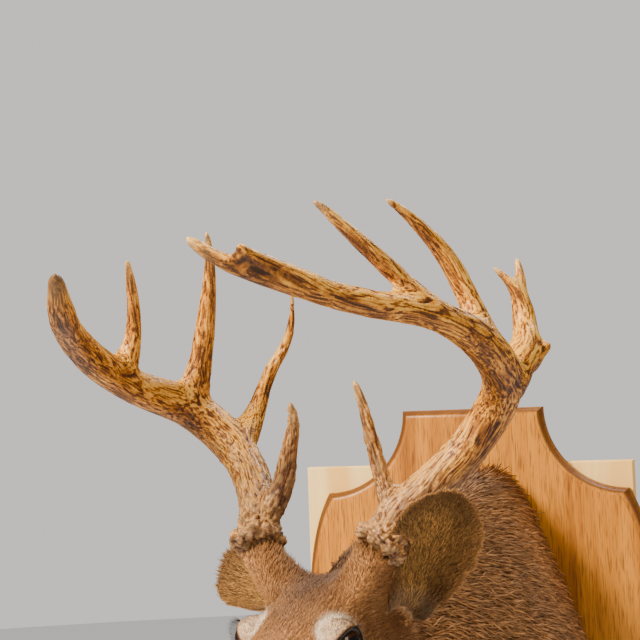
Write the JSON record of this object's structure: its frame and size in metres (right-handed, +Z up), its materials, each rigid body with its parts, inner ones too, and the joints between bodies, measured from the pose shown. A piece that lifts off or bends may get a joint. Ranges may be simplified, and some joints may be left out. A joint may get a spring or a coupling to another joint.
{
  "type": "deer shoulder mount",
  "caption": "White-tailed deer head, neck and shoulders with antlers, turned to its right, on a walnut shield and a pale backing board for a wall.",
  "frame": {"origin": "middle of the backing board's back face, on the wall", "axes": "+Y into the wall, +Z up, +X to the viewer's right (the deer's left); the deer looks out along -Y"},
  "size_m": [0.4718, 0.7081, 0.6992],
  "materials": {
    "pine": "satin",
    "walnut": "satin",
    "coat": "matt hair",
    "antler": "worn bone, satin",
    "nose_skin": "moist skin, semi-gloss",
    "eye": "glass eye, gloss"
  },
  "bodies": {
    "root": {"backing_board": "pine", "shield": "walnut", "shoulders": "coat", "neck": "coat", "head": "coat", "lower_jaw": "coat", "ear_left": "coat", "ear_right": "coat", "nose": "nose_skin", "eye_left": "eye", "eye_right": "eye", "antler_left_burr": "antler", "antler_left_beam_lower": "antler", "antler_left_beam_middle": "antler", "antler_left_beam_upper": "antler", "antler_right_burr": "antler", "antler_right_beam_lower": "antler", "antler_right_beam_middle": "antler", "antler_right_beam_upper": "antler", "antler_left_tine_brow": "antler", "antler_left_tine_second": "antler", "antler_left_tine_third": "antler", "antler_left_tine_fourth": "antler", "antler_left_tine_fifth": "antler", "antler_right_tine_brow": "antler", "antler_right_tine_second": "antler", "antler_right_tine_third": "antler", "antler_right_tine_fourth": "antler"}
  },
  "joints": []
}
